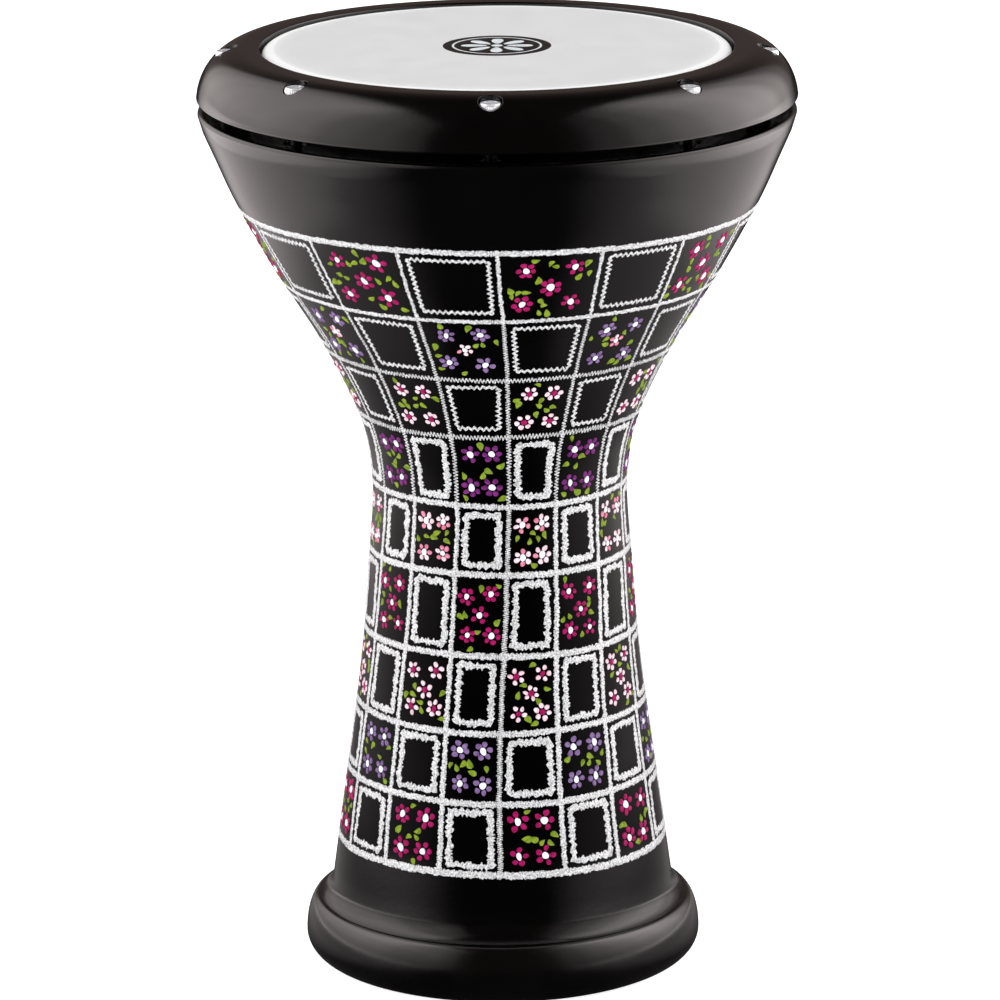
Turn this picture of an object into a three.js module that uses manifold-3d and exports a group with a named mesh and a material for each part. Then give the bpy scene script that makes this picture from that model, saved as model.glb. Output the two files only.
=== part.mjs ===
// A top-tuned goblet drum (darbuka): a cast shell standing on a foot ring, with a drumhead held
// down by a cast tension ring and eight socket-head cap screws.
// Millimetres, +Z up. The origin is the centre of the foot, on the surface the drum stands on.
// The front, where screw 1 is, faces -Y, and screws are counted anticlockwise from above.

import * as THREE from 'three';
import { mergeVertices } from 'three/addons/utils/BufferGeometryUtils.js';
import Module from 'manifold-3d';

const wasm = await Module();
wasm.setup();

// Overall
const HEIGHT = 432;
const SEGMENTS = 48;
const SMALL_SEGMENTS = 16;
const GAP = 0.3;

// Shell
const WALL = 3.5;
const SHELL_OUTLINE = [
  [79.8, 35.2], [77.1, 55], [72.5, 88], [67.9, 121], [63.6, 158], [60.8, 195], [59.0, 226],
  [61.6, 250], [69.1, 271], [83.5, 299], [103.0, 330.5], [120.5, 362.5], [130.1, 384], [134.9, 395],
];
const SHELL_STEPS = 18;
const FLARE_FILLET = 5;
const FLARE_FILLET_TURN = 75;
const FLANGE_BOTTOM = 28.2;
const FLANGE_RADIUS = 85.6;
const FLANGE_EDGE = 0.6;
const SPIGOT_BOTTOM = 16;
const SPIGOT_INNER = 75.6;
const SPIGOT_OUTER = 79.4;
const LIP_RADIUS = 137;
const LIP_ROUNDING = 2;
const SHELF_TOP = 404;
const RIM_UNDERSIDE = 380;

// Bearing edge, the collar that the drumhead is stretched over
const COLLAR_INNER = 102.6;
const COLLAR_OUTER = 106.6;
const COLLAR_TOP = 430.6;
const COLLAR_FOOT = 398;
const COLLAR_ROUNDING = 2;

// Foot ring
const FOOT_MAX_RADIUS = 92.3;
const FOOT_MAX_HEIGHT = 11;
const FOOT_REST_RADIUS = 80;
const FOOT_INNER = 75.4;

// Drumhead film, with its shoulder and collar
const FILM = 0.5;
const FILM_TOP = 431.6;
const FILM_FLAT_RADIUS = 102;
const FILM_SHOULDER_DROP = 3;
const FILM_OUTER = 107.6;
const FILM_BOTTOM = 412.6;

// Flesh hoop round the film's collar
const HOOP_INNER = 108;
const HOOP_OUTER = 113.6;
const HOOP_BOTTOM = 412.6;
const HOOP_HEIGHT = 6.2;

// Tension ring
const RING_INNER = 108.3;
const RING_OUTER = 137.6;
const RING_BOTTOM = 409;
const RING_WALL = 4;
const RING_INNER_ROUNDING = 1.3;
const RING_CREST_OUT = 116;
const RING_SIDE_DEPTH = 25;
const RING_TOP_UNDERSIDE = 425.5;
const RING_UNDERSIDE_RADIUS = 125.6;
const RING_UNDERSIDE_SLOPE = [6, 8];
const RING_PRESS_OUTER = 114;
const RING_PRESS_BOTTOM = 419.1;
const BOSS_RADIUS = 8;
const BOSS_BOTTOM = 416;
const BOSS_SKIN = 1;

// Tension screws, M6 with an M6 washer and an M6 thread insert
const SCREWS = 8;
const SCREW_CIRCLE = 123.6;
const HEAD_RADIUS = 5;
const HEAD_TOP = 430.6;
const HEAD_HEIGHT = 6;
const HEAD_CHAMFER = 0.5;
const HEX_ACROSS_FLATS = 5;
const HEX_DEPTH = 3;
const SHANK_RADIUS = 2.9;
const SHANK_LENGTH = 35;
const SHANK_CHAMFER = 0.8;
const POCKET_RADIUS = 5.6;
const SCREW_HOLE_RADIUS = 3.4;
const WASHER_RADIUS = 5.2;
const WASHER_HOLE = 3.3;
const WASHER_THICKNESS = 1;
const INSERT_RADIUS = 5;
const INSERT_HOLE = 3.3;
const INSERT_LENGTH = 12;
const TAPPED_HOLE_RADIUS = 3.6;
const TAPPED_HOLE_BOTTOM = 385;

const radians = THREE.MathUtils.degToRad;

/** A quarter of an ellipse, or less, in an outline: [radius, height] points from one angle to another. */
function arc(centre, radii, fromDegrees, toDegrees, steps) {
  const points = [];
  for (let i = 0; i <= steps; i += 1) {
    const angle = radians(fromDegrees + (toDegrees - fromDegrees) * i / steps);
    points.push([centre[0] + radii[0] * Math.cos(angle), centre[1] + radii[1] * Math.sin(angle)]);
  }
  return points;
}

/** A ring-shaped body: a closed outline of [radius, height] points, outer side upwards, turned about Z. */
function turned(outline, segments = SEGMENTS) {
  const closed = [...outline, outline[0]].map(([radius, height]) => new THREE.Vector2(radius, height));
  return new THREE.LatheGeometry(closed, segments).rotateX(Math.PI / 2);
}

/** A solid body of revolution, from the axis at the bottom to the axis at the top. */
function turnedSolid(outline, segments = SMALL_SEGMENTS) {
  const points = outline.map(([radius, height]) => new THREE.Vector2(radius, height));
  return new THREE.LatheGeometry(points, segments).rotateX(Math.PI / 2);
}

/** An upright cylinder between two heights, at a place in plan. */
function post(radius, bottom, top, x = 0, y = 0, segments = SMALL_SEGMENTS) {
  const geometry = new THREE.CylinderGeometry(radius, radius, top - bottom, segments);
  return geometry.rotateX(Math.PI / 2).translate(x, y, (bottom + top) / 2);
}

/** A geometry as a manifold solid, without the flat triangles that a lathe leaves on its axis. */
function toSolid(geometry) {
  const bare = geometry.clone();
  bare.deleteAttribute('normal');
  bare.deleteAttribute('uv');
  const merged = mergeVertices(bare, 1e-4);
  const corners = merged.index.array;
  const triangles = [];
  for (let i = 0; i < corners.length; i += 3) {
    const [a, b, c] = [corners[i], corners[i + 1], corners[i + 2]];
    if (a !== b && b !== c && c !== a) triangles.push(a, b, c);
  }
  return new wasm.Manifold(new wasm.Mesh({
    numProp: 3,
    vertProperties: new Float32Array(merged.attributes.position.array),
    triVerts: new Uint32Array(triangles),
  }));
}

/** A manifold solid as a geometry. */
function toGeometry(solid) {
  const mesh = solid.getMesh();
  const geometry = new THREE.BufferGeometry();
  geometry.setAttribute('position', new THREE.BufferAttribute(new Float32Array(mesh.vertProperties), 3));
  geometry.setIndex(new THREE.BufferAttribute(new Uint32Array(mesh.triVerts), 1));
  geometry.computeVertexNormals();
  return geometry;
}

/** One body with others cut out of it. */
function cut(body, tools) {
  return tools.reduce((solid, tool) => solid.subtract(toSolid(tool)), toSolid(body));
}

/** The places of the tension screws in plan, screw 1 at the front. */
function screwPlaces() {
  return Array.from({ length: SCREWS }, (_, i) => {
    const angle = 2 * Math.PI * i / SCREWS - Math.PI / 2;
    return { x: SCREW_CIRCLE * Math.cos(angle), y: SCREW_CIRCLE * Math.sin(angle), turn: angle };
  });
}

/** The shell's outer wall, from the flare up to the lip. */
function shellOuterWall() {
  const points = SHELL_OUTLINE.map(([radius, height]) => new THREE.Vector2(radius, height));
  const curve = new THREE.SplineCurve(points);
  return Array.from({ length: SHELL_STEPS + 1 }, (_, i) => {
    const at = i / SHELL_STEPS;
    const point = curve.getPoint(at);
    const along = curve.getTangent(at);
    return {
      outer: [point.x, point.y],
      inner: [point.x - WALL * along.y, point.y + WALL * along.x],
    };
  });
}

/** The cast shell: foot spigot, flare, neck, bowl, rim with its shelf, and the bearing edge. */
function shell() {
  const wall = shellOuterWall();
  const [flareRadius, flareHeight] = SHELL_OUTLINE[0];
  const collarMiddle = (COLLAR_INNER + COLLAR_OUTER) / 2;
  const everySecond = wall.filter((_, i) => i % 2 === 0).map(({ inner }) => inner);
  const innerWall = everySecond.filter(([, height]) => height < RIM_UNDERSIDE);
  const fillet = arc(
    [flareRadius + FLARE_FILLET, flareHeight], [-FLARE_FILLET, -FLARE_FILLET], FLARE_FILLET_TURN, 0, 4,
  ).slice(0, -1);
  const outline = [
    [SPIGOT_INNER, SPIGOT_BOTTOM],
    [SPIGOT_OUTER, SPIGOT_BOTTOM],
    [SPIGOT_OUTER, FLANGE_BOTTOM],
    [FLANGE_RADIUS, FLANGE_BOTTOM],
    [FLANGE_RADIUS, FLANGE_BOTTOM + FLANGE_EDGE],
    ...fillet,
    ...wall.map(({ outer }) => outer),
    ...arc([LIP_RADIUS - LIP_ROUNDING, SHELF_TOP - LIP_ROUNDING], [LIP_ROUNDING, LIP_ROUNDING], 0, 90, 3),
    [COLLAR_OUTER, SHELF_TOP],
    ...arc([collarMiddle, COLLAR_TOP - COLLAR_ROUNDING], [COLLAR_ROUNDING, COLLAR_ROUNDING], 0, 180, 4),
    [COLLAR_INNER, COLLAR_FOOT],
    ...innerWall.reverse(),
  ];
  const holes = screwPlaces().flatMap(({ x, y }) => [
    post(INSERT_RADIUS + GAP, SHELF_TOP - 2 * GAP - INSERT_LENGTH - GAP, SHELF_TOP + 1, x, y),
    post(TAPPED_HOLE_RADIUS, TAPPED_HOLE_BOTTOM, SHELF_TOP, x, y),
  ]);
  return toGeometry(cut(turned(outline), holes));
}

/** The foot ring: a bead round the shell's spigot, with the flat face that the drum stands on. */
function footRing() {
  const top = FLANGE_BOTTOM - GAP;
  const lowerRadii = [FOOT_MAX_RADIUS - FOOT_REST_RADIUS, FOOT_MAX_HEIGHT];
  const upperRadii = [FOOT_MAX_RADIUS - FLANGE_RADIUS, top - FOOT_MAX_HEIGHT];
  return turned([
    [FOOT_INNER, 0],
    ...arc([FOOT_REST_RADIUS, FOOT_MAX_HEIGHT], lowerRadii, -90, 0, 5),
    ...arc([FLANGE_RADIUS, FOOT_MAX_HEIGHT], upperRadii, 20, 90, 5),
    [SPIGOT_OUTER + GAP, top],
    [SPIGOT_OUTER + GAP, SPIGOT_BOTTOM - GAP],
    [FOOT_INNER, SPIGOT_BOTTOM - GAP],
  ]);
}

/** The drumhead film: a flat disc that turns down over the bearing edge into a collar. */
function headFilm() {
  const shoulder = [FILM_OUTER - FILM_FLAT_RADIUS, FILM_SHOULDER_DROP];
  const inside = [shoulder[0] - FILM, shoulder[1] - FILM];
  const centre = [FILM_FLAT_RADIUS, FILM_TOP - shoulder[1]];
  return turnedSolid([
    [0, FILM_TOP - FILM],
    ...arc(centre, inside, 90, 0, 4),
    [FILM_OUTER - FILM, FILM_BOTTOM],
    [FILM_OUTER, FILM_BOTTOM],
    ...arc(centre, shoulder, 0, 90, 4),
    [0, FILM_TOP],
  ], SEGMENTS);
}

/** The flesh hoop, which the tension ring presses down to stretch the film. */
function headHoop() {
  return turned([
    [HOOP_INNER, HOOP_BOTTOM],
    [HOOP_OUTER, HOOP_BOTTOM],
    [HOOP_OUTER, HOOP_BOTTOM + HOOP_HEIGHT],
    [HOOP_INNER, HOOP_BOTTOM + HOOP_HEIGHT],
  ]);
}

/** The tension ring: a rounded casting, hollow below, with a boss and a counterbored hole for each screw. */
function tensionRing() {
  const sideCentre = [RING_CREST_OUT, HEIGHT - RING_SIDE_DEPTH];
  const sideWidth = RING_OUTER - RING_CREST_OUT;
  const edgeCentre = [RING_INNER + RING_INNER_ROUNDING, HEIGHT - RING_INNER_ROUNDING];
  const outline = [
    [RING_OUTER - RING_WALL, RING_BOTTOM],
    [RING_OUTER, RING_BOTTOM],
    ...arc(sideCentre, [sideWidth, RING_SIDE_DEPTH], 14, 90, 6),
    ...arc(edgeCentre, [RING_INNER_ROUNDING, RING_INNER_ROUNDING], 90, 180, 2),
    [RING_INNER, RING_PRESS_BOTTOM],
    [RING_PRESS_OUTER, RING_PRESS_BOTTOM],
    [RING_PRESS_OUTER, RING_TOP_UNDERSIDE],
    [RING_UNDERSIDE_RADIUS, RING_TOP_UNDERSIDE],
    [RING_UNDERSIDE_RADIUS + RING_UNDERSIDE_SLOPE[0], RING_TOP_UNDERSIDE - RING_UNDERSIDE_SLOPE[1]],
  ];
  const envelope = toSolid(turnedSolid([
    [0, RING_BOTTOM],
    ...arc(sideCentre, [sideWidth - BOSS_SKIN, RING_SIDE_DEPTH - BOSS_SKIN], 14, 90, 6),
    [0, HEIGHT - BOSS_SKIN],
  ], SEGMENTS));
  const washerSeat = HEAD_TOP - HEAD_HEIGHT - WASHER_THICKNESS - 2 * GAP;
  const bosses = screwPlaces().map(({ x, y }) => {
    const boss = post(BOSS_RADIUS, BOSS_BOTTOM, RING_TOP_UNDERSIDE + 1, x, y);
    return toSolid(boss).intersect(envelope);
  });
  const holes = screwPlaces().flatMap(({ x, y }) => [
    post(POCKET_RADIUS, washerSeat, HEIGHT + 1, x, y, 20),
    post(SCREW_HOLE_RADIUS, BOSS_BOTTOM - 1, HEIGHT, x, y),
  ]);
  const ring = bosses.reduce((solid, boss) => solid.add(boss), toSolid(turned(outline)));
  return toGeometry(holes.reduce((solid, hole) => solid.subtract(toSolid(hole)), ring));
}

/** A tension screw on the Z axis: a cap head with a hexagon socket, on a shank. */
function tensionScrew() {
  const headBottom = HEAD_TOP - HEAD_HEIGHT;
  const tip = headBottom - SHANK_LENGTH;
  const body = turnedSolid([
    [0, tip],
    [SHANK_RADIUS - SHANK_CHAMFER, tip],
    [SHANK_RADIUS, tip + SHANK_CHAMFER],
    [SHANK_RADIUS, headBottom],
    [HEAD_RADIUS, headBottom],
    [HEAD_RADIUS, HEAD_TOP - HEAD_CHAMFER],
    [HEAD_RADIUS - HEAD_CHAMFER, HEAD_TOP],
    [0, HEAD_TOP],
  ]);
  const hexRadius = HEX_ACROSS_FLATS / Math.sqrt(3);
  return toGeometry(cut(body, [post(hexRadius, HEAD_TOP - HEX_DEPTH, HEAD_TOP + 1, 0, 0, 6)]));
}

/** A washer on the Z axis, under the screw's head. */
function screwWasher() {
  const top = HEAD_TOP - HEAD_HEIGHT - GAP;
  return turned([
    [WASHER_HOLE, top - WASHER_THICKNESS],
    [WASHER_RADIUS, top - WASHER_THICKNESS],
    [WASHER_RADIUS, top],
    [WASHER_HOLE, top],
  ], SMALL_SEGMENTS);
}

/** A thread insert on the Z axis, sunk in the shell's shelf. */
function threadInsert() {
  const top = SHELF_TOP - 2 * GAP;
  return turned([
    [INSERT_HOLE, top - INSERT_LENGTH],
    [INSERT_RADIUS, top - INSERT_LENGTH],
    [INSERT_RADIUS, top],
    [INSERT_HOLE, top],
  ], SMALL_SEGMENTS);
}

const materials = {
  shellPaint: { color: 0x0b0a0a, roughness: 0.12, metalness: 0 },
  footPaint: { color: 0x0d0b0b, roughness: 0.2, metalness: 0 },
  ringPaint: { color: 0x0b0a0a, roughness: 0.15, metalness: 0 },
  film: { color: 0xe6e6e6, roughness: 0.45, metalness: 0 },
  hoop: { color: 0xb8babd, roughness: 0.4, metalness: 1 },
  chrome: { color: 0xdfe2e6, roughness: 0.08, metalness: 1 },
  steel: { color: 0xa9abad, roughness: 0.35, metalness: 1 },
};

const drum = new THREE.Group();

/** Add one named piece, with a material of its own. */
function add(name, geometry, material, x = 0, y = 0, turn = 0) {
  const mesh = new THREE.Mesh(geometry, new THREE.MeshStandardMaterial(material));
  mesh.name = name;
  mesh.position.set(x, y, 0);
  mesh.rotation.z = turn;
  drum.add(mesh);
}

add('shell', shell(), materials.shellPaint);
add('foot_ring', footRing(), materials.footPaint);
add('head_film', headFilm(), materials.film);
add('head_hoop', headHoop(), materials.hoop);
add('tension_ring', tensionRing(), materials.ringPaint);
screwPlaces().forEach(({ x, y, turn }, i) => {
  const number = i + 1;
  add(`tension_screw_${number}`, tensionScrew(), materials.chrome, x, y, turn);
  add(`screw_washer_${number}`, screwWasher(), materials.steel, x, y, turn);
  add(`thread_insert_${number}`, threadInsert(), materials.steel, x, y, turn);
});

export default drum;
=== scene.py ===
"""A top-tuned darbuka: fine surfaces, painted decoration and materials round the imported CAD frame.

Metres in Blender. The outlines below are in millimetres and pass through MM once, where a mesh is made.
The drum's axis is Z. Angles round the drum start at the front, -Y, where screw 1 is, and grow towards +X.
"""
import math

import bpy
import numpy as np
from mathutils import Matrix, Vector


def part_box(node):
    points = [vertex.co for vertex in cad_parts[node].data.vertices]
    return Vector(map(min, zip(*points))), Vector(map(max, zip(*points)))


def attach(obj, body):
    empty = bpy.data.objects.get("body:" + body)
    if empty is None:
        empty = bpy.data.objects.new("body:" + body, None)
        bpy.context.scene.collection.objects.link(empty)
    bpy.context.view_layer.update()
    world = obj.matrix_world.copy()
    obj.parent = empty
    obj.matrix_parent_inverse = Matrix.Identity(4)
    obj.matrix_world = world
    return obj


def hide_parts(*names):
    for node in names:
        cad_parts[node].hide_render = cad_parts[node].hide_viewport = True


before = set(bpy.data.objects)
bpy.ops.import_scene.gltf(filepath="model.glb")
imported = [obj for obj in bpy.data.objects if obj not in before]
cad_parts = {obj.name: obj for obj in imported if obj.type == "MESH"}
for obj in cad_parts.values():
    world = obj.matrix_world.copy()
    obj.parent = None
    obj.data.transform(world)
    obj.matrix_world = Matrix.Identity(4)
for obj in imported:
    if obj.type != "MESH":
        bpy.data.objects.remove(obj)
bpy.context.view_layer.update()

MM = 0.001
SEED = 7
SCREWS = 8

# The shell's outer wall: radius and height in mm, from the flare up to the lip, joined by a smooth spline.
SHELL_OUTLINE = [
    (79.8, 35.2), (77.1, 55), (72.5, 88), (67.9, 121), (63.6, 158), (60.8, 195), (59.0, 226),
    (61.6, 250), (69.1, 271), (83.5, 299), (103.0, 330.5), (120.5, 362.5), (130.1, 384), (134.9, 395),
]
WALL = 3.5
# The hollow curve between the flange and the flare: its radius in mm, the height where it meets the flare,
# and the angles in degrees that it runs between.
COVE = 9.8
COVE_TOP = 36.1
COVE_START = 7.8
COVE_END = 65
FLANGE_RADIUS = 85.6
FLANGE_BOTTOM = 28.2
SPIGOT_BOTTOM = 16
SPIGOT_INNER = 75.6
SPIGOT_OUTER = 79.4
LIP_RADIUS = 137
SHELF_TOP = 404
RIM_UNDERSIDE = 380
COLLAR_INNER = 102.6
COLLAR_OUTER = 106.6
COLLAR_TOP = 430.6
COLLAR_FOOT = 398
INSERT_BORE = 5.3
INSERT_BORE_BOTTOM = 391.1
TAPPED_BORE = 3.6
TAPPED_BORE_BOTTOM = 385

FOOT_MAX_RADIUS = 92.3
FOOT_MAX_HEIGHT = 11
FOOT_REST_RADIUS = 80
FOOT_INNER = 75.4

FILM = 0.3
FILM_TOP = 431.2
FILM_OUTER = 107.2
FILM_BOTTOM = 412.6
FILM_FLAT_RADIUS = 103.2
FILM_SHOULDER_DROP = 2.8

RING_TOP = 432
RING_INNER = 108.3
RING_OUTER = 137.6
RING_BOTTOM = 409
RING_CREST = 116
RING_SIDE_DEPTH = 25
RING_WALL = 4
RING_PRESS_OUTER = 114
RING_PRESS_BOTTOM = 419.1
RING_TOP_UNDERSIDE = 425.5
POCKET_RADIUS = 5.6
POCKET_FLOOR = 422.9
SCREW_HOLE = 3.4
BOSS_RADIUS = 8
BOSS_BOTTOM = 416
BOSS_SKIN = 1

# The screws. Their heads sit a little lower than the CAD's.
HEAD_SUNK = 0.8
HEAD_HEIGHT = 6
HEAD_RADIUS = 4.85
SOCKET_FLATS = 2.5
SOCKET_DEPTH = 3
SHANK_RADIUS = 2.88
THREAD_ROOT = 2.42
THREAD_DEPTH = 0.46

# The print on the head.
PRINT_RADIUS = 24.8
PRINT_BACK = 2.3
PRINT_LINE = (19.6, 20.6)
ROSETTE_PETALS = 8
PETAL_CENTRE = 10.5
PETAL_REACH = 6
PETAL_WIDTH = 2.6
ROSETTE_HUB = 2.6

# The painted band: the height in mm of each line round the drum, its half width, and how it is drawn.
LINES = [
    (360.7, 1.5, "ragged"), (325.7, 1.1, "ragged"), (294.1, 1.1, "stitched"), (263.8, 1.2, "stitched"),
    (229.6, 1.3, "ragged"), (197.6, 1.45, "ragged"), (159.8, 1.45, "ragged"), (124.5, 1.4, "ragged"),
    (92.0, 1.45, "ragged"), (59.1, 1.65, "ragged"),
]
# The shell lacquer's specular level at heights in metres: the ground of the painted band is nearly matt.
BAND_SHINE = [
    (0.031, 0.42), (0.0355, 0.6), (0.044, 0.24), (0.057, 0.2), (0.066, 0.05), (0.16, 0.04), (0.215, 0.07),
    (0.25, 0.12), (0.28, 0.2), (0.32, 0.34), (0.347, 0.44), (0.364, 0.52),
]
COLUMNS = 16
STITCHED_ROWS = (1, 2, 3)
WAVY_FRAME_ROWS = 3
# Each row of flowers from the top down: petals, centres, layout, radius in mm, and how many leaves.
ROWS = [
    ("magenta", "white", "five", 5.0, 15),
    ("lavender", "white", "four_and_one", 4.5, 9),
    ("pale", "magenta", "four", 4.3, 8),
    ("purple", "white", "four", 4.5, 7),
    ("pink", "white", "four", 4.2, 6),
    ("magenta", "white", "five", 4.0, 7),
    ("pale", "magenta", "five", 4.0, 7),
    ("lavender", "white", "four", 4.5, 6),
    ("magenta", "white", "four", 5.0, 6),
]


def smooth_outline(points, steps):
    """A uniform Catmull-Rom curve through the points, the same curve that the CAD shell has."""
    curve = []
    last = len(points) - 1
    for i in range(last):
        p0, p1, p2, p3 = (np.array(points[min(max(k, 0), last)], float) for k in (i - 1, i, i + 1, i + 2))
        for step in range(steps):
            t = step / steps
            v0, v1 = (p2 - p0) / 2, (p3 - p1) / 2
            curve.append(
                (2 * p1 - 2 * p2 + v0 + v1) * t**3 + (3 * p2 - 3 * p1 - 2 * v0 - v1) * t**2 + v0 * t + p1
            )
    curve.append(np.array(points[last], float))
    return np.array(curve)


def arc(centre, radii, start, end, steps):
    """Part of an ellipse in an outline, from one angle to another in degrees."""
    angles = np.radians(np.linspace(start, end, steps + 1))
    return [(centre[0] + radii[0] * math.cos(a), centre[1] + radii[1] * math.sin(a)) for a in angles]


WALL_CURVE = smooth_outline(SHELL_OUTLINE, 12)


def wall_radius(height):
    return np.interp(height, WALL_CURVE[:, 1], WALL_CURVE[:, 0])


def wall_slope(height):
    """How fast the wall's radius grows with height."""
    return (wall_radius(height + 1.5) - wall_radius(height - 1.5)) / 3


# ---------------------------------------------------------------- meshes


def new_object(name, vertices, faces):
    mesh = bpy.data.meshes.new(name)
    mesh.from_pydata([tuple(v) for v in vertices], [], faces)
    mesh.validate()
    mesh.update()
    piece = bpy.data.objects.new(name, mesh)
    bpy.context.scene.collection.objects.link(piece)
    return piece


def smooth(piece, degrees=35):
    """Smooth shading, with a crease where the surface turns by more than so many degrees."""
    piece.data.shade_smooth()
    piece.data.set_sharp_from_angle(angle=math.radians(degrees))
    return piece


def lathe(name, outline, segments=256, closed=True):
    """A body of revolution about Z from an outline of (radius, height) in mm, outer side upwards."""
    vertices, rows, faces = [], [], []
    for radius, height in outline:
        if radius < 1e-6:
            rows.append([len(vertices)] * segments)
            vertices.append((0, 0, height * MM))
            continue
        rows.append(list(range(len(vertices), len(vertices) + segments)))
        for k in range(segments):
            angle = 2 * math.pi * k / segments
            vertices.append((radius * math.sin(angle) * MM, -radius * math.cos(angle) * MM, height * MM))
    pairs = list(zip(rows, rows[1:] + rows[:1])) if closed else list(zip(rows, rows[1:]))
    for lower, upper in pairs:
        for k in range(segments):
            n = (k + 1) % segments
            corners = []
            for corner in (lower[k], lower[n], upper[n], upper[k]):
                if corner not in corners:
                    corners.append(corner)
            if len(corners) > 2:
                faces.append(corners)
    return new_object(name, vertices, faces)


def post(x, y, radius, bottom, top, segments=64):
    """Vertices and faces of an upright cylinder, in metres."""
    vertices, faces = [], []
    for height in (bottom, top):
        for k in range(segments):
            angle = 2 * math.pi * (k + 0.5) / segments
            across, along = radius * MM * math.cos(angle), radius * MM * math.sin(angle)
            vertices.append((x + across, y + along, height * MM))
    for k in range(segments):
        n = (k + 1) % segments
        faces.append((k, n, segments + n, segments + k))
    faces.append(tuple(reversed(range(segments))))
    faces.append(tuple(range(segments, 2 * segments)))
    return vertices, faces


def posts(places, radius, bottom, top):
    """One cylinder at each place, as one throwaway object."""
    vertices, faces = [], []
    for x, y in places:
        more, sides = post(x, y, radius, bottom, top)
        faces += [tuple(len(vertices) + corner for corner in side) for side in sides]
        vertices += more
    return new_object("tool", vertices, faces)


def combine(piece, tool, operation):
    """Joins the tool to the piece or cuts it away, and removes the tool."""
    modifier = piece.modifiers.new("boolean", "BOOLEAN")
    modifier.operation = operation
    modifier.solver = "EXACT"
    modifier.object = tool
    depsgraph = bpy.context.evaluated_depsgraph_get()
    mesh = bpy.data.meshes.new_from_object(piece.evaluated_get(depsgraph))
    piece.modifiers.clear()
    piece.data = mesh
    bpy.data.objects.remove(tool)


def screw_places():
    """The axis of each tension screw in plan, from the frame."""
    places = []
    for number in range(1, SCREWS + 1):
        low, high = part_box(f"tension_screw_{number}")
        places.append(((low[0] + high[0]) / 2, (low[1] + high[1]) / 2))
    return places


# ---------------------------------------------------------------- materials


# Between these two values lies nearly all of a noise texture.
NOISE_SPREAD = (0.3, 0.7)


def add_node(tree, kind, *inputs, **settings):
    """A new shader node with its settings, and its first inputs linked or set in their order."""
    node = tree.nodes.new("ShaderNode" + kind)
    for setting, value in settings.items():
        setattr(node, setting, value)
    for socket, value in zip(node.inputs, inputs):
        if isinstance(value, bpy.types.NodeSocket):
            tree.links.new(value, socket)
        else:
            socket.default_value = value
    return node


def ramp(tree, source, stops, ease="LINEAR"):
    """A colour ramp over a source, from stops of (place, colour). A plain number is a grey level."""
    node = add_node(tree, "ValToRGB", source)
    elements = node.color_ramp.elements
    node.color_ramp.interpolation = ease
    while len(elements) < len(stops):
        elements.new(0.5)
    for element, (at, colour) in zip(elements, stops):
        element.position = at
        element.color = (*colour, 1) if isinstance(colour, tuple) else (colour, colour, colour, 1)
    return node.outputs["Color"]


class Nodes:
    """A material with a Principled shader, and the few node chains that the materials share."""

    def __init__(self, name, **values):
        self.material = bpy.data.materials.new(name)
        self.material.use_nodes = True
        self.tree = self.material.node_tree
        self.shader = self.tree.nodes["Principled BSDF"]
        for socket, value in values.items():
            self.shader.inputs[socket.replace("_", " ")].default_value = value
        self.place = self.tree.nodes.new("ShaderNodeTexCoord").outputs["Object"]

    def link(self, source, target):
        self.tree.links.new(source, target)

    def noise(self, scale, detail=3.0, roughness=0.5):
        node = add_node(self.tree, "TexNoise", self.place)
        node.inputs["Scale"].default_value = scale
        node.inputs["Detail"].default_value = detail
        node.inputs["Roughness"].default_value = roughness
        return node.outputs["Fac"]

    def colours(self, source, stops):
        """The base colour from a ramp of (place, colour) stops."""
        self.link(ramp(self.tree, source, stops), self.shader.inputs["Base Color"])

    def roughness(self, source, low, high):
        """A roughness that follows a noise from low to high."""
        spread = add_node(self.tree, "MapRange", source, *NOISE_SPREAD, low, high)
        self.link(spread.outputs["Result"], self.shader.inputs["Roughness"])

    def bump(self, source, strength, distance):
        bump = add_node(self.tree, "Bump")
        bump.inputs["Strength"].default_value = strength
        bump.inputs["Distance"].default_value = distance
        self.link(source, bump.inputs["Height"])
        self.link(bump.outputs["Normal"], self.shader.inputs["Normal"])


def lacquer(name, dark, light, low, high, peel, shine=0.5):
    """Black gloss paint on a casting: faint colour drift, uneven gloss and orange peel."""
    nodes = Nodes(name, Specular_IOR_Level=shine)
    nodes.colours(nodes.noise(22, 4), [(0.3, dark), (0.7, light)])
    nodes.roughness(nodes.noise(45, 5, 0.6), low, high)
    nodes.bump(nodes.noise(420, 2), peel, 0.0004)
    return nodes


def flatten_band(nodes):
    """Takes the shine off the shell's lacquer by height."""
    place = add_node(nodes.tree, "SeparateXYZ", nodes.place)
    shine = ramp(nodes.tree, place.outputs["Z"], BAND_SHINE)
    nodes.link(shine, nodes.shader.inputs["Specular IOR Level"])


def brushed_on(name, dark, light, rough=0.42):
    """Thick craft paint put on with a brush: streaked colour and a slightly uneven skin."""
    nodes = Nodes(name, Specular_IOR_Level=0.12)
    nodes.colours(nodes.noise(520, 3), [(0.32, dark), (0.62, light)])
    nodes.roughness(nodes.noise(300), rough - 0.08, rough + 0.1)
    nodes.bump(nodes.noise(1500, 2), 0.25, 0.0002)
    return nodes.material


def silver_paint():
    """Silver-white relief paint, grainy and a little metallic."""
    nodes = Nodes("silver_relief_paint", Metallic=0.15, Specular_IOR_Level=0.5)
    nodes.colours(
        nodes.noise(1400, 4, 0.7),
        [(0.36, (0.17, 0.17, 0.17)), (0.47, (0.46, 0.46, 0.47)), (0.6, (0.82, 0.82, 0.83))],
    )
    nodes.roughness(nodes.noise(900), 0.28, 0.5)
    nodes.bump(nodes.noise(2200, 3), 0.5, 0.0003)
    return nodes.material


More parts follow.
